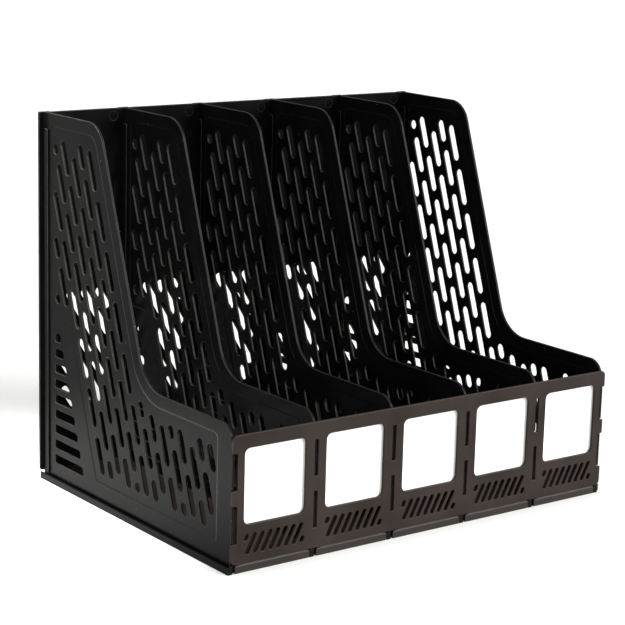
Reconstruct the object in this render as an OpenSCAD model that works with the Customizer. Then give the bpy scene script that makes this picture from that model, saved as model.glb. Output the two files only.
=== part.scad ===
// Desktop file sorter with five upright bays.
// Six slotted upright panels stand side by side. Five back panels slide into grooves at
// their rear edges, five floor trays rest on the feet between them, and one front panel
// with five label windows ties the front edges together. A paper card slides in behind
// each window.
// Frame: mm, +X to the right, front toward -Y, +Z up, origin under the middle of the rack.

/* [Overall] */
// distance from one upright panel to the next
bay_pitch = 63; // [56:0.5:76]
// depth from the front face to the rear flanges
depth = 238; // [212:1:275]
// height of the upright panels
height = 262; // [230:1:300]

/* [Upright panels] */
// plate thickness
plate_t = 1.8; // [1.4:0.1:3]
// height of the low front part
low_h = 96; // [90:1:112]
// depth of the level top edge, measured to where the slope would meet it
top_d = 76; // [64:1:90]
// lean of the sloping front edge from the vertical
slope = 19.4; // [14:0.2:24]
// radius where the top edge turns into the slope
top_r = 20; // [10:1:26]
// radius where the slope runs out into the low front part
waist_r = 28; // [16:1:36]
// radius at the low front corner
nose_r = 12; // [6:1:16]

/* [Slots in the upright panels] */
// length of one slot over its round ends
slot_l = 27.3; // [22:0.1:30]
// width of one slot
slot_w = 6.2; // [5:0.1:7.5]
// distance between slots along one column
slot_pitch = 34.1; // [31:0.1:42]
// distance between columns of slots
column_pitch = 10.7; // [9:0.1:13]
// plain border left round the slotted field
margin = 17; // [13:0.5:21]
// distance the slot axes keep from the rear face
rear_margin = 17.7; // [16:0.1:21]
// height of the lowest slot ends above the table
field_z = 23; // [18:1:30]
// number of level louvres low at the rear
louvre_n = 9; // [5:1:9]
// distance between louvres
louvre_pitch = 11; // [10:0.1:12]
// height of one louvre
louvre_h = 6.2; // [5:0.1:7]

/* [Rear groove and foot] */
// width of the rear flange
flange_w = 9; // [7.5:0.5:12]
// thickness of the rear flange
flange_t = 1.8; // [1.4:0.1:2.6]
// height of the foot under an upright panel
foot_h = 5; // [4:0.1:6.5]
// width of the foot
foot_w = 7.2; // [6.6:0.1:9]
// thickness of the foot's floor and turned up lips
foot_t = 1.4; // [1:0.1:1.8]

/* [Back panels] */
// thickness of a back panel
back_t = 2.2; // [1.6:0.1:3]
// width of one slanting slot in a back panel
vent_w = 5.6; // [4:0.1:7]
// distance between the slanting slots, square to them
vent_pitch = 10; // [8.5:0.1:13]
// plain border at each side of the slanting slots
vent_border = 11.5; // [8:0.5:14]

/* [Floor trays] */
// thickness of the tray floor
floor_t = 2; // [1.6:0.1:3]

/* [Front panel] */
// thickness of the front panel
front_t = 2.2; // [1.8:0.1:3]
// top edge of the front panel above the table
front_top = 89.5; // [85:0.5:95]
// plain strip left between two label windows
window_gap = 16; // [14:0.5:22]
// height of a label window
window_h = 49.3; // [40:0.1:52]
// lower edge of a label window above the table
window_z = 31; // [29:0.5:35]
// width of one slot of the small grille
grille_w = 3; // [2:0.1:3.6]
// distance between grille slots, measured level
grille_pitch = 6; // [5.4:0.1:7.5]

/* [Label cards] */
// how far a label card reaches past its window at the sides and below
card_lap = 2; // [1.5:0.1:2.5]
// thickness of a label card
card_t = 0.6; // [0.4:0.1:1]

/* [Clearances] */
// gap between parts that slide or snap together
fit = 0.3; // [0.2:0.05:0.5]
// gap left between the front edge of an upright panel and the front panel
front_gap = 0.4; // [0.3:0.1:0.8]
// how much wider the front panel's slits are than the tabs that snap into them
slit_play = 1.2; // [0.6:0.1:1.6]
// how much further inwards the open slits at the front panel's two ends reach
end_play = 1.2; // [0:0.1:1.6]
// how far the front panel reaches past the outer upright panels
front_over = 0.3; // [0.2:0.1:1]

/* [Hidden] */
$fn = 48;
bays = 5;
eps = 0.01;
pocket_t = 1.2;                                  // wall of the card pockets
plate_y = front_t + front_gap;                   // front edge of the plates
groove_y1 = depth - flange_t;                    // rear wall of the back panel groove
groove_y0 = groove_y1 - back_t - 2 * fit;        // front wall of the groove
lip_d = 4.6;                                     // depth of the ribs that front the groove
lip_h = 1.3;                                     // how far those ribs stand out
flange_z = foot_h + 1.2;                         // the flange ends above the foot
right_lip_y = plate_y + 0.4;                     // the right foot lip hides behind the tray strip
strip_left = 2;                                  // strip end to the middle of the panel at its left
strip_right = foot_w / 2 + fit;                  // strip end to the middle of the panel at its right
front_z = foot_h + 0.8;                          // lower edge of the front panel
front_x = (bays * bay_pitch + plate_t) / 2 + front_over;
tab_y = 1.5;                                     // tab ends sit this deep in their slits
slit_w = plate_t + slit_play;                    // slits that take the tabs
upper_tab = [54, 24];                            // slit foot and length
lower_tab = [19.5, 24.5];
first_slot = 27.3;                               // top corner to the first slot, down the slope
louvre_z = foot_h + 13.5;                        // lowest louvre
louvre_s = 100;                                  // slope edge to louvre ends, square to the slope
vent_z = [50, 135];
vent_lean = 32;
grille_z = [11.4, 25];
window_w = bay_pitch - window_gap;
grille_x = window_w / 2;                         // half width of a grille
card_w = window_w + 2 * card_lap;
card_z = window_z - card_lap;                    // the card stands at this height
card_h = window_h + card_lap + 3;
pocket_h = window_h - 4;                         // height of the pocket's side walls
grille_lean = 28;

// ---- shared shapes ----

// middle of panel k (0 to 5) and of bay k (0 to 4) across the rack
function panel_x(k) = (k - bays / 2) * bay_pitch;
function bay_x(k) = (k - (bays - 1) / 2) * bay_pitch;

// everything is drawn from the front face at y = 0 and moved to the frame here
module placed() translate([0, -depth / 2, 0]) children();

// a flat outline in (y, z), made a plate of thickness t about the plane x = 0
module upright(t) rotate([90, 0, 90]) translate([0, 0, -t / 2]) linear_extrude(t) children();

// a flat outline in (x, z), made a plate from y = y0 to y0 + t
module standing(y0, t) translate([0, y0 + t, 0]) rotate([90, 0, 0]) linear_extrude(t) children();

// a slot with round ends between two points; its flats lie a hair inside the round ends,
// so that arc and flat cross cleanly
module slot2d(a, b, w) {
    d = b - a;
    l = norm(d);
    flat = w - 2 * eps;
    translate(a) circle(d = w);
    if (l > 0.05) translate(b) circle(d = w);
    if (l > 0.05) translate(a) rotate(atan2(d[1], d[0])) translate([0, -flat / 2]) square([l, flat]);
}

// points along an arc about c from angle a to angle b
function arc(c, r, a, b, n = 16) =
    [for (i = [0 : n]) let (t = a + (b - a) * i / n) c + r * [cos(t), sin(t)]];

// a rectangle with round corners
module round2d(x0, z0, w, h, r) {
    translate([x0 + r, z0]) square([w - 2 * r, h]);
    translate([x0, z0 + r]) square([w, h - 2 * r]);
    for (x = [x0 + r, x0 + w - r], z = [z0 + r, z0 + h - r]) translate([x, z]) circle(r);
}

// parallel slots that lean by an angle, each one cut short where it would leave the field
// x from -hx to hx, z from z[0] to z[1]; a piece shorter than its width is left out
module leaning_slots(hx, z, w, lean, pitch) {
    u = [sin(lean), cos(lean)];
    xm = hx - w / 2;
    za = z[0] + w / 2;
    zb = z[1] - w / 2;
    zm = (za + zb) / 2;
    n = ceil((hx + (zb - za) / 2 * abs(tan(lean))) / pitch);
    for (i = [-n : n]) {
        x = i * pitch;
        tx = [(-xm - x) / u[0], (xm - x) / u[0]];
        ta = max(min(tx), (za - zm) / u[1]);
        tb = min(max(tx), (zb - zm) / u[1]);
        if (tb > ta) slot2d([x, zm] + ta * u, [x, zm] + tb * u, w);
    }
}

// ---- upright panels ----

cs = cos(slope);
sn = sin(slope);
apex_y = depth - top_d;                          // slope edge meets the top edge here
edge = margin + slot_w / 2;                      // slot axes keep this far inside the outline
waist_c = [-waist_r, (height - low_h - waist_r + waist_r * sn) / cs];

// a point given by its distance s behind the slope edge and q down along it
function on_slope(s, q) = [apex_y + s * cs - q * sn, height - s * sn - q * cs];

// highest and lowest place of a slot axis in the column at s, as distances down the slope
function waist_q(s) = waist_c[1] + sqrt(max(0, pow(waist_r + edge, 2) - pow(s + waist_r, 2)));
function low_q(s) = (height - low_h + edge - s * sn) / cs;
function past_waist(s) = on_slope(s, waist_q(s))[0] > on_slope(waist_c[0], waist_c[1])[0];
function q_top(s) = max((edge - s * sn) / cs,
                        (apex_y + s * cs - (depth - rear_margin)) / sn,
                        s > edge - eps ? 0 : past_waist(s) ? waist_q(s) : low_q(s));
function q_low(s) = min((height - field_z - slot_w / 2 - s * sn) / cs,
                        (apex_y + s * cs - plate_y - edge) / sn,
                        s < louvre_s - 20 ? 1e4
                            : (height - louvre_z - louvre_n * louvre_pitch - louvre_pitch * 1.5 - s * sn) / cs);

// outline of the plate in (y, z), from the low front corner over the slope to the rear
module panel_outline() {
    nose_c = [plate_y + nose_r, low_h - nose_r];
    waist_at = on_slope(waist_c[0], waist_c[1]);
    top_c = on_slope(top_r, top_r * (1 - sn) / cs);
    rear = depth - flange_t / 2;
    polygon(concat([[plate_y, 0]],
                   arc(nose_c, nose_r, 180, 90),
                   arc(waist_at, waist_r, -90, -slope),
                   arc(top_c, top_r, 180 - slope, 90),
                   [[rear, height], [rear, 0]]));
}

// staggered columns of slots that follow the slope, cut short at the plain border
module panel_slots() {
    h = (slot_l - slot_w) / 2;
    front_cols = ceil(apex_y / column_pitch);
    rear_cols = ceil(top_d / column_pitch) + 2;
    for (j = [-front_cols : rear_cols]) {
        s = edge + j * column_pitch;
        qa = q_top(s);
        qb = q_low(s);
        if (qb > qa) for (k = [-12 : 12]) {
            q = first_slot + (k + j / 2) * slot_pitch;
            a = max(q - h, qa);
            b = min(q + h, qb);
            if (b > a) slot2d(on_slope(s, a), on_slope(s, b), slot_w);
        }
    }
}

// level louvres that end on a line parallel to the slope, square at the rear
module panel_louvres() {
    for (i = [0 : louvre_n - 1]) {
        z = louvre_z + i * louvre_pitch;
        y1 = depth - margin;
        y0 = on_slope(louvre_s, (height - z - louvre_s * sn) / cs)[0] + louvre_h / 2;
        if (y1 > y0) {
            translate([y0, z]) circle(d = louvre_h);
            translate([y0, z - louvre_h / 2 + eps]) square([y1 - y0, louvre_h - 2 * eps]);
        }
    }
}

// one upright panel: slotted plate, tabs, rear flange, groove ribs and a foot with two lips
module panel(k) {
    color([0.16, 0.16, 0.17]) placed() translate([panel_x(k), 0, 0]) {
        upright(plate_t) difference() {
            union() {
                panel_outline();
                for (t = [upper_tab, lower_tab])
                    translate([tab_y, t[0] + fit]) square([plate_y - tab_y + eps, t[1] - 2 * fit]);
                translate([tab_y, 0]) square([plate_y - tab_y + eps, foot_h]);
            }
            panel_slots();
            panel_louvres();
        }
        translate([-flange_w / 2, groove_y1, flange_z]) cube([flange_w, flange_t, height - flange_z]);
        translate([-plate_t / 2 - lip_h, groove_y0 - lip_d, flange_z])
            cube([plate_t + 2 * lip_h, lip_d, height - flange_z - 11]);
        translate([-foot_w / 2, right_lip_y, 0]) cube([foot_w, depth - right_lip_y, foot_t]);
        translate([-foot_w / 2, fit, 0]) cube([foot_w / 2, depth - fit, foot_t]);
        translate([-foot_w / 2, fit, 0]) cube([foot_t, depth - fit, foot_h]);
        translate([foot_w / 2 - foot_t, right_lip_y, 0]) cube([foot_t, depth - right_lip_y, foot_h]);
    }
}

// ---- back panels ----

// one back panel, held in the grooves of its two upright panels and standing on their feet
module back(k) {
    w = bay_pitch - plate_t - 2 * fit;
    color([0.2, 0.2, 0.22]) placed() translate([bay_x(k), 0, 0]) standing(groove_y0 + fit, back_t)
        difference() {
            translate([-w / 2, foot_h]) square([w, height - foot_h]);
            leaning_slots(bay_pitch / 2 - vent_border, vent_z, vent_w, -vent_lean, vent_pitch / cos(vent_lean));
        }
}

// ---- floor trays ----

// one floor tray: a flat floor on the feet, a step down at the front to a face strip,
// two side flanges that drop between the feet and three ribs that reach the table
module tray(k) {
    x0 = -bay_pitch / 2 + plate_t / 2 + fit;
    w = bay_pitch - plate_t - 2 * fit;
    fx0 = -bay_pitch / 2 + strip_left;
    fw = bay_pitch - strip_left - strip_right;
    y0 = plate_y + 0.2;
    y1 = groove_y0 - lip_d - fit;
    inner = foot_w / 2 + fit;
    color([0.13, 0.13, 0.14]) placed() translate([bay_x(k), 0, 0]) {
        translate([x0, y0, foot_h]) cube([w, y1 - y0, floor_t]);
        translate([x0 + lip_h + fit, y1 - eps, foot_h])
            cube([w - 2 * lip_h - 2 * fit, lip_d, floor_t]);
        translate([fx0, 0.2, 0]) cube([fw, 2, foot_h]);
        translate([-bay_pitch / 2 + inner, 0.2, foot_h - 2])
            cube([bay_pitch - 2 * inner, y0 + 1.8, 2]);
        for (x = [-bay_pitch / 2 + inner, -1, bay_pitch / 2 - inner - 2])
            translate([x, 0.3, 0]) cube([2, y1 - 0.3, foot_h + eps]);
    }
}

// ---- front panel ----

// window, grille, slits, and behind each window a pocket that holds its card at both
// sides and from below
module front() {
    pocket_y = front_t + card_t + 2 * fit;
    side = card_w / 2 + fit;
    color([0.24, 0.22, 0.21]) placed() {
        standing(0, front_t) difference() {
            round2d(-front_x, front_z, 2 * front_x, front_top - front_z, 3.5);
            for (k = [0 : bays - 1]) translate([bay_x(k), 0]) {
                round2d(-window_w / 2, window_z, window_w, window_h, 4);
                leaning_slots(grille_x, grille_z, grille_w, grille_lean, grille_pitch);
            }
            for (k = [1 : bays - 1], t = [upper_tab, lower_tab])
                translate([panel_x(k) - slit_w / 2, t[0]]) square([slit_w, t[1]]);
            for (sx = [0, 1], t = [upper_tab, lower_tab]) mirror([sx, 0])
                translate([panel_x(bays) - slit_w / 2 - end_play, t[0]]) square([slit_w + end_play + 2, t[1]]);
        }
        for (k = [0 : bays - 1], sx = [-1, 1]) translate([bay_x(k), 0, 0]) {
            translate([sx * (side + pocket_t / 2) - pocket_t / 2, front_t - eps, card_z - fit - pocket_t])
                cube([pocket_t, pocket_y + pocket_t - front_t + eps, pocket_h]);
            translate([sx > 0 ? side - 2 : -side - pocket_t, pocket_y, card_z - fit - pocket_t])
                cube([2 + pocket_t, pocket_t, pocket_h]);
        }
        for (k = [0 : bays - 1]) translate([bay_x(k) - side - pocket_t, front_t - eps, card_z - fit - pocket_t])
            cube([2 * (side + pocket_t), pocket_y + pocket_t - front_t + eps, pocket_t]);
    }
}

// ---- label cards ----

// one plain card, standing in its pocket behind the window
module card(k) {
    color([0.95, 0.95, 0.93]) placed()
        translate([bay_x(k) - card_w / 2, front_t + fit, card_z])
            cube([card_w, card_t, card_h]);
}

panel(0);  // panel_1
panel(1);  // panel_2
panel(2);  // panel_3
panel(3);  // panel_4
panel(4);  // panel_5
panel(5);  // panel_6
back(0);  // back_1
back(1);  // back_2
back(2);  // back_3
back(3);  // back_4
back(4);  // back_5
tray(0);  // tray_1
tray(1);  // tray_2
tray(2);  // tray_3
tray(3);  // tray_4
tray(4);  // tray_5
front();
card(0);  // card_1
card(1);  // card_2
card(2);  // card_3
card(3);  // card_4
card(4);  // card_5
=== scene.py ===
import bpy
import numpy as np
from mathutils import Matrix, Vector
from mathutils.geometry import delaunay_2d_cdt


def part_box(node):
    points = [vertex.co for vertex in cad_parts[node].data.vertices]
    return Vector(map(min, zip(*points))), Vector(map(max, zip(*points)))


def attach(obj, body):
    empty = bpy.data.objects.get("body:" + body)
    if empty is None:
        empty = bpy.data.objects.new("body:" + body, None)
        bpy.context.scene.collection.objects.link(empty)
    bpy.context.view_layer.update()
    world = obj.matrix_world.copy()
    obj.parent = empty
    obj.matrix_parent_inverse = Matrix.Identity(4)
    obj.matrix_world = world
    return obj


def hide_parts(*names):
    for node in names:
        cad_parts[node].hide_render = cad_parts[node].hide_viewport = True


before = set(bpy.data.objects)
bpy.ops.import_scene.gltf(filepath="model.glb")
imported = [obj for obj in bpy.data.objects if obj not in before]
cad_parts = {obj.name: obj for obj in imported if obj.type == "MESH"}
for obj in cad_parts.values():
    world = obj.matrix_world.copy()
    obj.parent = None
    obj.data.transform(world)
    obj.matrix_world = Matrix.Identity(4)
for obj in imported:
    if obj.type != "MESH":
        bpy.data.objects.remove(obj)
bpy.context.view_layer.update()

# Desktop file sorter with five upright bays: six slotted uprights, five back panels and
# five floor trays snapped together, one front panel across all the bays, and a paper
# label card behind each of its windows. Lengths are in millimetres until a mesh is made.
# Across the rack is x, depth counted from the front face is y, and height is z.

# ---- Upright panels ----
# Six like plates of black ABS, injection moulded: a slotted wall with a level top, a slope
# and a low front, a flange and two ribs at the rear that grip the back panels, a foot with
# two turned up lips, and tabs that snap into the front panel.

MM = 0.001
PLATE_T = 1.8            # wall of the upright plate
PLATE_Y = 2.6            # its front edge, behind the front panel
REAR_Y = 237.1           # its rear edge, inside the flange
APEX_Y = 162.0           # the slope would meet the level top edge here
LOW_H = 96.0             # top of the low front part
SLOPE = np.radians(19.4)  # lean of the slope from the vertical
TOP_R, WAIST_R, NOSE_R = 20.0, 28.0, 12.0
EDGE_R = 0.45            # rounding of every moulded edge
TAB_Y = 1.5              # tab ends, inside the front panel's slits
TAB_R = 0.5
TABS = [(54.3, 77.7), (19.8, 43.7)]
SLOT_L, SLOT_W = 27.3, 6.2
SLOT_PITCH, COLUMN_PITCH = 34.1, 10.7
FIRST_SLOT = 27.3        # top corner to the first slot, down the slope
COLUMNS, ROWS = range(-16, 11), range(-12, 13)   # more than there is room for
MARGIN, REAR_MARGIN = 17.0, 17.7   # plain border, and slot axes to the rear face
FIELD_Z = 23.0           # lowest slot ends
LOUVRES, LOUVRE_PITCH, LOUVRE_H = 9, 11.0, 6.2
LOUVRE_Z, LOUVRE_S = 18.5, 100.0   # the lowest louvre, and their front ends behind the slope
BESIDE, ABOVE = 20.0, 1.5          # slots nearer than BESIDE stop ABOVE more pitches up
LOUVRE_R = [1.5, 3.0, 0.9, 0.9]    # corners: front below, front above, rear above, rear below
PANEL_RECESS, RECESS_RUN = 0.3, 1.6   # the slotted middle of the left face lies this much lower
FLANGE_W, FLANGE_Y, DEPTH = 9.0, 236.2, 238.0
FLANGE_R, RIB_R = [2, 2, 0.8, 0.8], [0.5, 0.5, 1.5, 1.5]   # their corners, from the foot up
RIB_Y, RIB_H = (228.8, 233.4), 1.3
RIB_TOP = 11.0           # the ribs end this far below the top edge
FOOT_W, FOOT_T, FOOT_H = 7.2, 1.4, 5.0
FLANGE_LIFT = 1.2        # the flange and the ribs start this far above the foot's lips
FOOT_START = (0.3, 3.0)  # front ends of the foot's left and right parts
FOOT_EDGE_R = 0.25
PLATE_FOOT = 0.3         # the plate's lower edge, inside the foot

BLACK = ("#0b0b0b", "#101010", "#5e5b57")   # darkest, lightest, and the painted highlight with patchy wear on rounded edges

low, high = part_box("panel_1")
FRONT_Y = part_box("front")[0][1] / MM   # the rack's front face in the frame
HEIGHT = high[2] / MM

cs, sn = np.cos(SLOPE), np.sin(SLOPE)
edge = MARGIN + SLOT_W / 2
waist = np.array([-WAIST_R, (HEIGHT - LOW_H - WAIST_R + WAIST_R * sn) / cs])

UPRIGHT = np.array([[0, 1, 0], [0, 0, 1], [-1, 0, 0]])   # drawn in y and z, face to the left
STANDING = np.array([[1, 0, 0], [0, 0, 1], [0, -1, 0]])  # drawn in x and z, face to the front
LEVEL = np.eye(3)                                        # drawn in x and y, face up


def rounded(corners, radii, steps=4):
    """Closed outline of straight runs joined by arcs. Corner i starts r tan(turn / 2) before the
    corner, and its points are centre + r (cos, sin)(angle) while the angle goes over the turn.
    Anticlockwise round an outer edge and clockwise round a hole, so that the normals, which
    point to the right of the way round, leave the material. Returns points and normals."""
    corners = np.asarray(corners, float)
    radii = np.broadcast_to(np.asarray(radii, float), len(corners))
    leave = np.roll(corners, -1, 0) - corners
    leave /= np.linalg.norm(leave, axis=1, keepdims=True)
    come = np.roll(leave, 1, 0)
    out = np.stack([come[:, 1], -come[:, 0]], 1)
    turn = np.arctan2(come[:, 0] * leave[:, 1] - come[:, 1] * leave[:, 0], (come * leave).sum(1))
    signed = np.sign(turn) * radii
    centre = corners - come * (radii * np.tan(abs(turn) / 2))[:, None] - out * signed[:, None]
    angle = np.arctan2(out[:, 1], out[:, 0])[:, None] + turn[:, None] * np.linspace(0, 1, steps + 1)
    normals = np.stack([np.cos(angle), np.sin(angle)], 2)
    points = (centre[:, None] + signed[:, None, None] * normals).reshape(-1, 2)
    keep = np.linalg.norm(points - np.roll(points, 1, 0), axis=1) > 1e-4
    return points[keep], normals.reshape(-1, 2)[keep]


def box_2d(x0, z0, x1, z1, radii):
    """Rectangle from (x0, z0) to (x1, z1) with round corners, anticlockwise."""
    return rounded([(x0, z0), (x1, z0), (x1, z1), (x0, z1)], radii)


def hole_2d(x0, z0, x1, z1, radii, steps=4):
    """The same rectangle as a hole, clockwise: low left, high left, high right, low right."""
    return rounded([(x0, z0), (x0, z1), (x1, z1), (x1, z0)], radii, steps)


def slot_holes(middle, way, length, width):
    """Holes with round ends: each is the rectangle of length and width about its middle, along
    the unit direction way, with corner arcs of half the width."""
    way = np.asarray(way, float)
    across = np.array([-way[1], way[0]]) * width / 2
    along = way * np.asarray(length)[:, None] / 2
    ends = [middle - along + across, middle + along + across,
            middle + along - across, middle - along - across]
    return [rounded(c, width / 2 - 1e-3) for c in np.stack(ends, 1)]


def rim(low, high, r, steps=3):
    """Edge profile from the top face to the bottom face: a quarter arc of radius r, a straight
    wall, and a second quarter arc. Columns: distance out, height, and the two parts of the
    normal, sin and cos of the arc's angle."""
    a = np.linspace(0, np.pi / 2, steps + 1)
    s, c = np.sin(a), np.cos(a)
    upper = np.stack([r * (s - 1), high - r + r * c, s, c], 1)
    lower = np.stack([r * (c - 1), low + r - r * s, c, -s], 1)
    return np.concatenate([upper, lower])


def step_down(high, depth, run, steps=6):
    """Soft step profile: height = high - depth (3 t^2 - 2 t^3) while the distance in grows by
    run t, and the normal is (-slope, 1) made one long. Columns as in rim."""
    t = np.linspace(0, 1, steps + 1)
    slope = -depth * 6 * t * (1 - t) / run
    size = np.hypot(slope, 1)
    return np.stack([run * t, high - depth * (3 * t ** 2 - 2 * t ** 3), -slope / size, 1 / size], 1)


def inside(points, rings):
    """True where a point is inside an odd number of rings: a level ray from it crosses an odd
    number of their edges."""
    a = np.concatenate(rings)
    b = np.concatenate([np.roll(r, -1, 0) for r in rings])
    x, y = points[:, 0:1], points[:, 1:2]
    spans = (a[:, 1] > y) != (b[:, 1] > y)
    rise = np.where(a[:, 1] == b[:, 1], 1, b[:, 1] - a[:, 1])
    crossed = spans & (x < a[:, 0] + (y - a[:, 1]) * (b[:, 0] - a[:, 0]) / rise)
    return crossed.sum(1) % 2 == 1


def fill(rings, index):
    """Flat face between closed rings: their Delaunay triangulation, less the triangles whose
    middle isn't inside, all turned anticlockwise. index gives each ring's vertex numbers."""
    flat, index = np.concatenate(rings), np.concatenate(index)
    at = np.cumsum([0] + [len(r) for r in rings])
    edges = np.concatenate([np.stack([np.arange(i, j), np.roll(np.arange(i, j), -1)], 1)
                            for i, j in zip(at[:-1], at[1:])])
    _, _, tris, source, _, _ = delaunay_2d_cdt([Vector(p) for p in flat], edges.tolist(), [], 0, 1e-6)
    tris = np.array([s[0] for s in source])[np.array(tris)]
    tris = tris[inside(flat[tris].mean(1), rings)]
    u, v = flat[tris[:, 1]] - flat[tris[:, 0]], flat[tris[:, 2]] - flat[tris[:, 0]]
    turned = u[:, 0] * v[:, 1] < u[:, 1] * v[:, 0]
    tris[turned] = tris[turned][:, ::-1]
    return index[tris]


def moulding(outline, holes=(), low=0.0, high=1.0, r=EDGE_R, recess=(), depth=0.0, run=0.8):
    """Closed moulded shell between the levels low and high. Rim profiles are carried round the
    outline and each hole, point(i, j) = loop(i) + out(j) normal(i) at height(j), and flat faces
    join them. Inside the recess loops the upper face lies deeper by depth, past a soft step.
    Returns vertices, normals, how far each vertex is rounded over (the mask of the painted edge
    highlight and wear), quads and triangles."""
    verts, normals, quads, upper, sunk, lower = [], [], [], [], [], []
    count = 0
    deep = [len(recess) > 0 and inside(h[0][:1], [c[0] for c in recess])[0] for h in holes]
    loops = [(outline, rim(low, high, r), upper, lower)]
    loops += [(h, rim(low, high - depth * d, r), sunk if d else upper, lower) for h, d in zip(holes, deep)]
    loops += [(c, step_down(high, depth, run), upper, sunk) for c in recess]
    for (points, out), profile, first, last in loops:
        reach, height, level, up = profile.T
        n, k = len(points), len(profile)
        ring = points[:, None] + reach[:, None] * out[:, None]
        verts.append(np.dstack([ring, np.broadcast_to(height, (n, k))]).reshape(-1, 3))
        normal = np.dstack([level[:, None] * out[:, None], np.broadcast_to(up, (n, k))])
        normals.append(normal.reshape(-1, 3))
        grid = count + np.arange(n * k).reshape(n, k)
        after = np.roll(grid, -1, 0)
        quads.append(np.stack([grid[:, :-1], grid[:, 1:], after[:, 1:], after[:, :-1]], 2).reshape(-1, 4))
        first.append((ring[:, 0], grid[:, 0]))
        last.append((ring[:, -1], grid[:, -1]))
        count += n * k
    tris = [fill(*zip(*upper)), fill(*zip(*lower))[:, ::-1]]
    if sunk:
        tris.append(fill(*zip(*sunk)))
    normals = np.concatenate(normals)
    # mask of the painted edge highlight and wear: highest partway round each rounding
    wear_and_highlight = (2 * np.linalg.norm(normals[:, :2], axis=1) * abs(normals[:, 2])) ** 3
    return np.concatenate(verts), normals, wear_and_highlight, np.concatenate(quads), np.concatenate(tris)


def laid(shell, axes, move=(0, 0, 0)):
    """A shell drawn in its own plane, laid along the given axes and moved. Axes that mirror it
    have its faces turned round, so that they still point outwards."""
    verts, normals, wear_and_highlight, quads, tris = shell
    if np.linalg.det(axes) < 0:
        quads, tris = quads[:, ::-1], tris[:, ::-1]
    return verts @ axes + np.asarray(move), normals @ axes, wear_and_highlight, quads, tris


def piece(name, shells, move, body, node, material):
    """One mesh from its shells, moved by millimetres, with the moulding's own normals."""
    starts = np.cumsum([0] + [len(s[0]) for s in shells])
    verts = (np.concatenate([s[0] for s in shells]) + np.asarray(move)) * MM
    faces = [f for s, i in zip(shells, starts) for k in (3, 4) for f in (s[k] + i).tolist()]
    mesh = bpy.data.meshes.new(name)
    mesh.from_pydata(verts.tolist(), [], faces)
    mesh.polygons.foreach_set("use_smooth", np.ones(len(faces), bool))
    # the mask of the painted edge highlight and wear, read by the material
    wear_and_highlight = mesh.attributes.new("wear_and_highlight", "FLOAT", "POINT")
    wear_and_highlight.data.foreach_set("value", np.concatenate([s[2] for s in shells]).astype(np.float32))
    mesh.normals_split_custom_set_from_vertices(np.concatenate([s[1] for s in shells]).tolist())
    mesh.materials.append(material)
    obj = bpy.data.objects.new(name, mesh)
    bpy.context.scene.collection.objects.link(obj)
    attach(obj, body)
    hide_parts(node)
    return obj


def linear(colour):
    """sRGB hex colour to linear RGBA: ((c + 0.055) / 1.055) ^ 2.4, or c / 12.92 when dark."""
    c = np.array([int(colour[i:i + 2], 16) for i in (1, 3, 5)]) / 255
    return (*np.where(c > 0.04045, ((c + 0.055) / 1.055) ** 2.4, c / 12.92), 1.0)


def node(tree, kind, inputs=None, stops=(), **settings):
    """Add one shader node. Settings are its own properties; inputs are its sockets by name or
    number, each a value or another node's output; stops are a ramp's (place, hex colour)."""
    made = tree.nodes.new(kind)
    for key, value in settings.items():
        setattr(made, key, value)
    for key, value in (inputs or {}).items():
        if isinstance(value, bpy.types.NodeSocket):
            tree.links.new(value, made.inputs[key])
        else:
            made.inputs[key].default_value = value
    for i, (place, colour) in enumerate(stops):
        made.color_ramp.elements[i].position = place
        made.color_ramp.elements[i].color = linear(colour)
    return made


FLOW_MM, GRAIN_MM, WEAR_AND_HIGHLIGHT_MM, DUST_MM = 38.0, 0.9, 9.0, 11.0   # sizes of the surface patterns
DUST_COLOUR = "#77756f"


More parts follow.
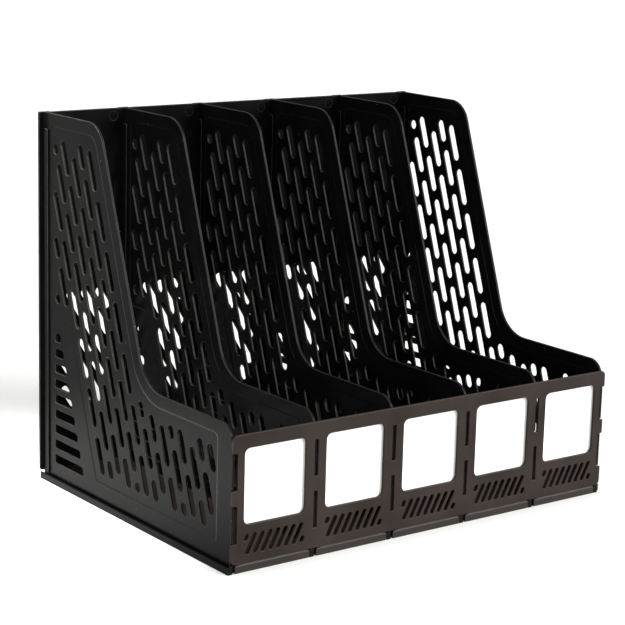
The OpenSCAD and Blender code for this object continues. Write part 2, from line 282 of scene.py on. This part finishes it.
def moulded_abs(name, dark, light, wear_and_highlight, rough, specular, grain):
    """Injection moulded ABS. Its colour drifts softly between dark and light as the flow and
    sink marks of a thin wall do, a fine spark-eroded grain breaks up the sheen, rounded edges
    are painted lighter in patches, a painted highlight that also stands for light rubbing, and a
    few dust specks lie on it. The real grain is about 0.15 mm, too fine to show, so it is drawn at
    GRAIN_MM."""
    material = bpy.data.materials.new(name)
    material.use_nodes = True
    tree = material.node_tree
    shader = tree.nodes["Principled BSDF"]
    place = node(tree, "ShaderNodeTexCoord").outputs["Object"]
    flow = node(tree, "ShaderNodeTexNoise", {"Vector": place, "Scale": 1 / (FLOW_MM * MM), "Detail": 3.0})
    fine = node(tree, "ShaderNodeTexNoise", {"Vector": place, "Scale": 1 / (GRAIN_MM * MM), "Detail": 2.0})
    # rounded edges mix towards the third colour in patches: a painted highlight, partly light wear; they
    # are also a little rougher
    edge_wear_and_highlight = node(tree, "ShaderNodeAttribute", attribute_name="wear_and_highlight")
    patchy = node(tree, "ShaderNodeTexNoise", {"Vector": place, "Scale": 1 / (WEAR_AND_HIGHLIGHT_MM * MM), "Detail": 4.0})
    wear_and_highlight_mask = node(tree, "ShaderNodeMath", {0: edge_wear_and_highlight.outputs["Fac"], 1: patchy.outputs["Fac"]},
                operation="MULTIPLY")
    dust = node(tree, "ShaderNodeTexVoronoi", {"Vector": place, "Scale": 1 / (DUST_MM * MM),
                                               "Randomness": 1.0})
    speck = node(tree, "ShaderNodeValToRGB", {"Fac": dust.outputs["Distance"]},
                 stops=[(0.018, "#ffffff"), (0.032, "#000000")])
    base = node(tree, "ShaderNodeValToRGB", {"Fac": flow.outputs["Fac"]},
                stops=[(0.35, dark), (0.65, light)])
    with_edge_wear_and_highlight = node(tree, "ShaderNodeMix", {"Factor": wear_and_highlight_mask.outputs[0], 6: base.outputs["Color"],
                                         7: linear(wear_and_highlight)}, data_type="RGBA")
    dusted = node(tree, "ShaderNodeMix", {"Factor": speck.outputs["Color"], 6: with_edge_wear_and_highlight.outputs[2],
                                          7: linear(DUST_COLOUR)}, data_type="RGBA")
    tree.links.new(dusted.outputs[2], shader.inputs["Base Color"])
    sheen = node(tree, "ShaderNodeMapRange", {0: flow.outputs["Fac"], 1: 0.3, 2: 0.7,
                                              3: rough - 0.05, 4: rough + 0.05})
    dulled = node(tree, "ShaderNodeMath", {0: wear_and_highlight_mask.outputs[0], 1: 0.12, 2: sheen.outputs[0]},
                  operation="MULTIPLY_ADD")
    tree.links.new(dulled.outputs[0], shader.inputs["Roughness"])
    wavy = node(tree, "ShaderNodeBump", {"Height": flow.outputs["Fac"], "Strength": 0.25,
                                         "Distance": 0.6 * MM})
    rough_skin = node(tree, "ShaderNodeBump", {"Height": fine.outputs["Fac"], "Strength": grain,
                                               "Distance": 0.2 * MM, "Normal": wavy.outputs[0]})
    tree.links.new(rough_skin.outputs[0], shader.inputs["Normal"])
    shader.inputs["IOR"].default_value = 1.53
    shader.inputs["Specular IOR Level"].default_value = specular
    return material


def on_slope(s, q):
    """The point s behind the slope edge, square to it, and q down along it from the top edge:
    (apex + s cos - q sin, height - s sin - q cos)."""
    return np.stack([APEX_Y + s * cs - q * sn, HEIGHT - s * sn - q * cs], -1)


# staggered columns of slots along the slope, each cut short at the plain border
j = np.array(COLUMNS)[:, None]
s = edge + j * COLUMN_PITCH
q = FIRST_SLOT + (np.array(ROWS) + j / 2) * SLOT_PITCH
waist_q = waist[1] + np.sqrt(np.maximum(0, (WAIST_R + edge) ** 2 - (s - waist[0]) ** 2))
low_q = (HEIGHT - LOW_H + edge - s * sn) / cs
past_waist = on_slope(s, waist_q)[..., 0] > on_slope(*waist)[0]
under = np.where(s > edge - 0.01, 0, np.where(past_waist, waist_q, low_q))
q_top = np.maximum.reduce([(edge - s * sn) / cs, (APEX_Y + s * cs - DEPTH + REAR_MARGIN) / sn, under])
louvre_top = HEIGHT - LOUVRE_Z - (LOUVRES + ABOVE) * LOUVRE_PITCH - s * sn
q_low = np.minimum.reduce([(HEIGHT - FIELD_Z - SLOT_W / 2 - s * sn) / cs,
                           (APEX_Y + s * cs - PLATE_Y - edge) / sn,
                           np.where(s < LOUVRE_S - BESIDE, np.inf, louvre_top / cs)])
first = np.maximum(q - (SLOT_L - SLOT_W) / 2, q_top)
last = np.minimum(q + (SLOT_L - SLOT_W) / 2, q_low)
open_here = (last > first) & (q_low > q_top)
middle = on_slope(np.broadcast_to(s, q.shape), (first + last) / 2)[open_here]
panel_holes = slot_holes(middle, (-sn, -cs), (last - first)[open_here] + SLOT_W, SLOT_W)

# level louvres behind them, round at the front above and nearly square at the rear
louvre_z = LOUVRE_Z + LOUVRE_PITCH * np.arange(LOUVRES)
louvre_y = on_slope(LOUVRE_S, (HEIGHT - louvre_z - LOUVRE_S * sn) / cs)[:, 0]
panel_holes += [hole_2d(y, z - LOUVRE_H / 2, DEPTH - MARGIN, z + LOUVRE_H / 2, LOUVRE_R)
                for y, z in zip(louvre_y, louvre_z)]


def slope_at(s, z):
    """Depth of the line s behind the slope edge at height z."""
    return on_slope(s, (HEIGHT - z - s * sn) / cs)[0]


# the plate's outline: along the foot, up the rear, over the top, down the slope and the front
# edge with its two tabs and the tongue at the foot
front_edge = [(PLATE_Y, LOW_H), (PLATE_Y, TABS[0][1]), (TAB_Y, TABS[0][1]), (TAB_Y, TABS[0][0]),
              (PLATE_Y, TABS[0][0]), (PLATE_Y, TABS[1][1]), (TAB_Y, TABS[1][1]), (TAB_Y, TABS[1][0]),
              (PLATE_Y, TABS[1][0]), (PLATE_Y, FOOT_H), (TAB_Y, FOOT_H)]
outline = rounded([(TAB_Y, PLATE_FOOT), (REAR_Y, PLATE_FOOT), (REAR_Y, HEIGHT), (APEX_Y, HEIGHT),
                   (slope_at(0, LOW_H), LOW_H)] + front_edge,
                  [TAB_R, 1, 1, TOP_R, WAIST_R, NOSE_R] + [TAB_R] * 10, steps=12)
INSET = 8.0              # plain raised border inside the top edge, the slope and the waist
RECESS_Y, RECESS_Z = (17.0, 226.0), (16.5, 121.0)
RECESS_S = 84.5          # its slanting rear side
recess = rounded([(RECESS_Y[0], RECESS_Z[0]), (RECESS_Y[0], LOW_H - INSET),
                  (slope_at(INSET, LOW_H - INSET), LOW_H - INSET),
                  (slope_at(INSET, HEIGHT - INSET), HEIGHT - INSET), (RECESS_Y[1], HEIGHT - INSET),
                  (RECESS_Y[1], RECESS_Z[1]), (slope_at(RECESS_S, RECESS_Z[1]), RECESS_Z[1]),
                  (slope_at(RECESS_S, RECESS_Z[0]), RECESS_Z[0])],
                 [2, 5, WAIST_R + INSET, TOP_R - INSET, 3, 3, 8, 3], steps=12)
plate = laid(moulding(outline, panel_holes, -PLATE_T / 2, PLATE_T / 2, recess=[recess],
                      depth=PANEL_RECESS, run=RECESS_RUN), UPRIGHT)

flange_z = FOOT_H + FLANGE_LIFT
flange = laid(moulding(box_2d(-FLANGE_W / 2, flange_z, FLANGE_W / 2, HEIGHT, FLANGE_R),
                       (), -DEPTH, -FLANGE_Y), STANDING)
rib_x = PLATE_T / 2 + RIB_H
ribs = laid(moulding(box_2d(RIB_Y[0], flange_z, RIB_Y[1], HEIGHT - RIB_TOP, RIB_R),
                     (), -rib_x, rib_x), UPRIGHT)
half = FOOT_W / 2
foot_left = laid(moulding(rounded([(-half, 0), (0, 0), (0, FOOT_T), (FOOT_T - half, FOOT_T),
                                   (FOOT_T - half, FOOT_H), (-half, FOOT_H)],
                                  [0.5, 0.3, 0.3, 0.3, 0.5, 0.5]), (), -DEPTH, -FOOT_START[0],
                          FOOT_EDGE_R), STANDING)
foot_right = laid(moulding(rounded([(-0.2, 0), (half, 0), (half, FOOT_H), (half - FOOT_T, FOOT_H),
                                    (half - FOOT_T, FOOT_T), (-0.2, FOOT_T)],
                                   [0.3, 0.5, 0.5, 0.5, 0.3, 0.3]), (), -DEPTH, -FOOT_START[1],
                           FOOT_EDGE_R), STANDING)

satin_black_abs = moulded_abs("satin_black_abs", *BLACK, rough=0.24, specular=0.035, grain=0.05)
for k in range(1, 7):
    low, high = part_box(f"panel_{k}")
    centre = (low[0] + high[0]) / 2 / MM
    piece(f"upright_panel_{k}", [plate, flange, ribs, foot_left, foot_right], (centre, FRONT_Y, 0),
          "rack", f"panel_{k}", satin_black_abs)

# ---- Back panels ----
# Five like plates of the same black ABS, slid down into the grooves between flange and ribs
# and standing on the feet. Each has a band of slanting vents, and shallow round marks near
# its corners where the ejector pins of the mould pushed it out.

BACK_Y, BACK_T = 233.7, 2.2
VENT_W, VENT_PITCH, VENT_LEAN = 5.6, 10.0, np.radians(-32)
VENT_X, VENT_Z = 20.0, (50.0, 135.0)
PIN_X, PIN_R, PIN_INSET, PIN_DEPTH = 21.8, 3.5, 5.4, 0.12
PIN_Z, PIN_RUN = 160.0, 0.25   # middle pair of marks, and the run of each mark's soft edge
BACK_R = 0.8


def leaning_holes(hx, z, width, lean, pitch):
    """Parallel holes with round ends that lean by an angle, one every pitch along x, each cut
    where its axis would leave the field |x| <= hx and z[0] <= z <= z[1]."""
    way = np.array([np.sin(lean), np.cos(lean)])
    xm, za, zb = hx - width / 2, z[0] + width / 2, z[1] - width / 2
    count = int(np.ceil((hx + (zb - za) / 2 * abs(np.tan(lean))) / pitch))
    x = pitch * np.arange(-count, count + 1)
    ends = np.stack([(-xm - x) / way[0], (xm - x) / way[0]])
    first = np.maximum(ends.min(0), (za - zb) / 2 / way[1])
    last = np.minimum(ends.max(0), (zb - za) / 2 / way[1])
    x, first, last = (v[last > first] for v in (x, first, last))
    middle = np.stack([x, np.full_like(x, (za + zb) / 2)], 1) + ((first + last) / 2)[:, None] * way
    return slot_holes(middle, way, last - first + width, width)


low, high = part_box("back_1")
half = (high[0] - low[0]) / 2 / MM
foot = low[2] / MM
pins = [hole_2d(x - PIN_R, z - PIN_R, x + PIN_R, z + PIN_R, PIN_R - 1e-3, steps=8)
        for x in (-PIN_X, PIN_X) for z in (foot + PIN_INSET, PIN_Z, HEIGHT - PIN_INSET)]
back = laid(moulding(box_2d(-half, foot, half, HEIGHT, BACK_R),
                     leaning_holes(VENT_X, VENT_Z, VENT_W, VENT_LEAN, VENT_PITCH / np.cos(VENT_LEAN)),
                     -BACK_Y - BACK_T, -BACK_Y, recess=pins, depth=PIN_DEPTH, run=PIN_RUN), STANDING)
for k in range(1, 6):
    low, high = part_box(f"back_{k}")
    centre = (low[0] + high[0]) / 2 / MM
    piece(f"back_panel_{k}", [back], (centre, FRONT_Y, 0), "rack", f"back_{k}", satin_black_abs)

# ---- Floor trays ----
# Five like plain floors of black ABS, a little browner than the uprights, resting on the feet.
# Each has a tongue between the rear ribs, a step down at the front to a low face strip, and
# three ribs underneath that reach the table.

TRAY_T, TRAY_Y, TONGUE_Y = 2.0, (2.8, 228.5), 233.1
TONGUE_IN = 1.6          # the tongue is narrower than the floor by this at each side
STRIP_X, STRIP_Y = (-29.5, 27.6), (0.2, 2.2)
STRIP_R, FLOOR_R = 0.7, 0.5   # corners of the face strip and of all the rest
WEB_X, WEB_Z, WEB_Y = 27.6, 3.0, 4.8
UNDER_RIB_T, UNDER_Y = 2.0, 0.8   # ribs underneath, and their start inside the strip
WEB_SINK = 0.4           # the ribs reach this far into the floor
# darkest, lightest, and the painted highlight with patchy wear on rounded edges
BROWN_BLACK = ("#1c1613", "#231c19", "#6a625c")

low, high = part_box("tray_1")
half = (high[0] - low[0]) / 2 / MM
floor = laid(moulding(rounded([(-half, TRAY_Y[0]), (half, TRAY_Y[0]), (half, TRAY_Y[1]),
                               (half - TONGUE_IN, TRAY_Y[1]), (half - TONGUE_IN, TONGUE_Y),
                               (TONGUE_IN - half, TONGUE_Y), (TONGUE_IN - half, TRAY_Y[1]),
                               (-half, TRAY_Y[1])], FLOOR_R), (), FOOT_H, FOOT_H + TRAY_T), LEVEL)
strip = laid(moulding(box_2d(STRIP_X[0], 0, STRIP_X[1], FOOT_H, STRIP_R), (), -STRIP_Y[1], -STRIP_Y[0]),
             STANDING)
web = laid(moulding(box_2d(-WEB_X, UNDER_Y, WEB_X, WEB_Y, FLOOR_R), (), WEB_Z, FOOT_H + WEB_SINK), LEVEL)
under = [laid(moulding(box_2d(x, UNDER_Y, x + UNDER_RIB_T, TRAY_Y[1], FLOOR_R), (), 0, FOOT_H + WEB_SINK),
              LEVEL) for x in (-WEB_X, -UNDER_RIB_T / 2, WEB_X - UNDER_RIB_T)]
satin_brown_abs = moulded_abs("satin_brown_abs", *BROWN_BLACK, rough=0.42, specular=0.24, grain=0.06)
for k in range(1, 6):
    low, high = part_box(f"tray_{k}")
    centre = (low[0] + high[0]) / 2 / MM
    piece(f"floor_tray_{k}", [floor, strip, web, *under], (centre, FRONT_Y, 0), "rack", f"tray_{k}",
          satin_brown_abs)

# ---- Front panel ----
# One long plate of black ABS with a coarser, softer satin than the uprights and a warmer
# tone: five label windows, a small slanting grille under each, and slits that the uprights'
# tabs snap into. Behind each window a shallow pocket takes the label card from above.

FRONT_T, FRONT_R = 2.2, 3.5
WINDOW_W, WINDOW_Z, WINDOW_R = 47.0, (31.0, 80.3), 4.0
SLIT_W, SLITS, END_PLAY = 3.0, [(54.0, 78.0), (19.5, 44.0)], 1.2
GRILLE_X, GRILLE_Z, GRILLE_W = 23.5, (11.4, 25.0), 3.0
GRILLE_PITCH, GRILLE_LEAN = 6.0, np.radians(28)
POCKET_X, POCKET_T, POCKET_LIP = 25.8, 1.2, 2.0
POCKET_Y, POCKET_Z = 4.6, (27.5, 72.8)
POCKET_SINK, POCKET_JOIN = 0.4, 0.6   # walls start inside the panel, and lip and ledge in a wall
FRONT_EDGE_R, NOTCH_R, SLIT_R, POCKET_R = 0.5, 0.6, 0.5, 0.5
# darkest, lightest, and the painted highlight with patchy wear on rounded edges
WARM_BLACK = ("#211a16", "#2c2422", "#4c4541")

low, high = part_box("front")
half, foot, top = high[0] / MM, low[2] / MM, high[2] / MM
panel_x = [sum(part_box(f"panel_{k}")[i][0] for i in (0, 1)) / 2 / MM for k in range(1, 7)]
bay_x = [(a + b) / 2 for a, b in zip(panel_x[:-1], panel_x[1:])]
notch_x = panel_x[5] - SLIT_W / 2 - END_PLAY
right = [(half, foot)] + [p for z0, z1 in reversed(SLITS)
                          for p in ((half, z0), (notch_x, z0), (notch_x, z1), (half, z1))] + [(half, top)]
left = [(-x, z) for x, z in reversed(right)]
notch_r = [NOTCH_R] * 8
outline = rounded(right + left, [FRONT_R] + notch_r + [FRONT_R] * 2 + notch_r + [FRONT_R])
slits = [hole_2d(x - SLIT_W / 2, z0, x + SLIT_W / 2, z1, SLIT_R) for x in panel_x[1:5] for z0, z1 in SLITS]
windows = [hole_2d(x - WINDOW_W / 2, WINDOW_Z[0], x + WINDOW_W / 2, WINDOW_Z[1], WINDOW_R, steps=8)
           for x in bay_x]
grille = leaning_holes(GRILLE_X, GRILLE_Z, GRILLE_W, GRILLE_LEAN, GRILLE_PITCH)
grilles = [(points + (x, 0), normals) for x in bay_x for points, normals in grille]
shells = [laid(moulding(outline, slits + windows + grilles, -FRONT_T, 0, FRONT_EDGE_R), STANDING)]
wall = moulding(box_2d(POCKET_X, POCKET_Z[0], POCKET_X + POCKET_T, POCKET_Z[1], POCKET_R), (),
                -POCKET_Y, POCKET_SINK - FRONT_T)
lip = moulding(box_2d(POCKET_X - POCKET_LIP, POCKET_Z[0], POCKET_X + POCKET_JOIN, POCKET_Z[1],
                      POCKET_R), (), -POCKET_Y, POCKET_T - POCKET_Y)
ledge = moulding(box_2d(POCKET_JOIN - POCKET_X, POCKET_Z[0], POCKET_X - POCKET_JOIN,
                        POCKET_Z[0] + POCKET_T, POCKET_R), (), -POCKET_Y, POCKET_SINK - FRONT_T)
mirrored = STANDING * np.array([-1, 1, 1])
shells += [laid(shell, axes, (x, 0, 0)) for x in bay_x for shell, axes in
           ((wall, STANDING), (wall, mirrored), (lip, STANDING), (lip, mirrored), (ledge, STANDING))]
warm_satin_abs = moulded_abs("warm_satin_abs", *WARM_BLACK, rough=0.46, specular=0.1, grain=0.09)
piece("front_panel", shells, (0, FRONT_Y, 0), "rack", "front", warm_satin_abs)

# ---- Label cards ----
# Five loose cards of plain white uncoated paper board, die cut. Each stands in the pocket
# behind its window and can be pushed up and out.

CARD_Y, CARD_T, CARD_R, CARD_EDGE_R = 2.5, 0.6, 0.8, 0.1
CLOUD_MM, FIBRE_MM = 7.0, 0.5
BOARD_DARK, BOARD_LIGHT = "#f6f5f1", "#fbfbf9"


def uncoated_board(name):
    """White uncoated board: matt, with a faint cloudy formation and paper fibres. Real fibres
    are about 0.03 mm across, so they are drawn at FIBRE_MM to show at all."""
    material = bpy.data.materials.new(name)
    material.use_nodes = True
    tree = material.node_tree
    shader = tree.nodes["Principled BSDF"]
    place = node(tree, "ShaderNodeTexCoord").outputs["Object"]
    cloud = node(tree, "ShaderNodeTexNoise", {"Vector": place, "Scale": 1 / (CLOUD_MM * MM), "Detail": 4.0})
    fibre = node(tree, "ShaderNodeTexNoise", {"Vector": place, "Scale": 1 / (FIBRE_MM * MM), "Detail": 2.0})
    white = node(tree, "ShaderNodeValToRGB", {"Fac": cloud.outputs["Fac"]},
                 stops=[(0.3, BOARD_DARK), (0.7, BOARD_LIGHT)])
    tree.links.new(white.outputs["Color"], shader.inputs["Base Color"])
    skin = node(tree, "ShaderNodeBump", {"Height": fibre.outputs["Fac"], "Strength": 0.15,
                                         "Distance": 0.05 * MM})
    tree.links.new(skin.outputs[0], shader.inputs["Normal"])
    shader.inputs["Roughness"].default_value = 0.8
    shader.inputs["IOR"].default_value = 1.45
    return material


card_board = uncoated_board("uncoated_white_board")
for k in range(1, 6):
    low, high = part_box(f"card_{k}")
    card = moulding(box_2d(low[0] / MM, low[2] / MM, high[0] / MM, high[2] / MM, CARD_R), (),
                    -CARD_Y - CARD_T, -CARD_Y, CARD_EDGE_R)
    piece(f"label_card_{k}", [laid(card, STANDING)], (0, FRONT_Y, 0), f"label_{k}", f"card_{k}",
          card_board)

# ---- Floor, light and camera ----
# A pale matt studio floor under a large soft light at the front right, a very wide one
# overhead, weak ones behind and at the left, and a soft spot on the floor beside the left
# face, in surroundings that darken to the left.

FLOOR_DARK, FLOOR_LIGHT = "#ececea", "#efefed"
ground = bpy.data.meshes.new("studio_floor")
reach = 12.0
ground.from_pydata([(-reach, -reach, 0), (reach, -reach, 0), (reach, reach, 0), (-reach, reach, 0)],
                   [], [(0, 1, 2, 3)])
studio_floor = bpy.data.objects.new("studio_floor", ground)
bpy.context.scene.collection.objects.link(studio_floor)
matt_paint = bpy.data.materials.new("matt_pale_paint")
matt_paint.use_nodes = True
tree = matt_paint.node_tree
place = node(tree, "ShaderNodeTexCoord").outputs["Object"]
mottle = node(tree, "ShaderNodeTexNoise", {"Vector": place, "Scale": 3.0, "Detail": 3.0})
pale = node(tree, "ShaderNodeValToRGB", {"Fac": mottle.outputs["Fac"]},
            stops=[(0.3, FLOOR_DARK), (0.7, FLOOR_LIGHT)])
tree.links.new(pale.outputs["Color"], tree.nodes["Principled BSDF"].inputs["Base Color"])
tree.nodes["Principled BSDF"].inputs["Roughness"].default_value = 0.9
ground.materials.append(matt_paint)


def soft_sun(name, azimuth, elevation, spread, strength):
    """Soft distant light from the given direction, as wide as its spread in degrees."""
    a, e = np.radians([azimuth, elevation])
    way = Vector((np.sin(a) * np.cos(e), -np.cos(a) * np.cos(e), np.sin(e)))
    lamp = bpy.data.lights.new(name, "SUN")
    lamp.energy, lamp.angle = strength, np.radians(spread)
    light = bpy.data.objects.new(name, lamp)
    light.matrix_world = Matrix.Translation(way * 2) @ way.to_track_quat("Z", "Y").to_matrix().to_4x4()
    bpy.context.scene.collection.objects.link(light)


soft_sun("key_light", 39, 22, 36, 4.4)
soft_sun("overhead_light", 20, 82, 110, 2.2)
soft_sun("rear_light", -128, 26, 30, 0.35)
soft_sun("left_light", -62, 10, 16, 0.5)

lamp = bpy.data.lights.new("floor_light", "SPOT")
lamp.energy, lamp.shadow_soft_size = 48.0, 0.08
lamp.spot_size, lamp.spot_blend = np.radians(46), 1.0
floor_light = bpy.data.objects.new("floor_light", lamp)
floor_light.location = (-0.25, 0.1, 0.6)
bpy.context.scene.collection.objects.link(floor_light)

world = bpy.data.worlds.new("studio_surroundings")
world.use_nodes = True
bpy.context.scene.world = world
tree = world.node_tree
way = node(tree, "ShaderNodeTexCoord").outputs["Generated"]
side = node(tree, "ShaderNodeVectorMath", {0: way, 1: (0.82, 0.1, 0.2)},
            operation="DOT_PRODUCT").outputs["Value"]
grey = node(tree, "ShaderNodeValToRGB", {"Fac": side}, stops=[(0.0, "#5c5c5c"), (0.6, "#ffffff")])
tree.links.new(grey.outputs["Color"], tree.nodes["Background"].inputs["Color"])
tree.nodes["Background"].inputs["Strength"].default_value = 0.3

AZIMUTH, ELEVATION, ROLL = np.radians([-36.93, 12.63, 1.55])
back = Vector((np.sin(AZIMUTH) * np.cos(ELEVATION), -np.cos(AZIMUTH) * np.cos(ELEVATION),
               np.sin(ELEVATION)))
right = (-back).cross(Vector((0, 0, 1))).normalized()
up = right.cross(-back)
across = right * np.cos(ROLL) + up * np.sin(ROLL)
upright = up * np.cos(ROLL) - right * np.sin(ROLL)
lens = bpy.data.cameras.new("camera")
lens.lens, lens.sensor_width = 113.58, 36.0
camera = bpy.data.objects.new("camera", lens)
bpy.context.scene.collection.objects.link(camera)
turn = Matrix((across, upright, back)).transposed().to_4x4()
camera.matrix_world = Matrix.Translation((-0.8172, -1.0718, 0.4278)) @ turn
bpy.context.scene.camera = camera
bpy.context.scene.view_settings.view_transform = "Standard"
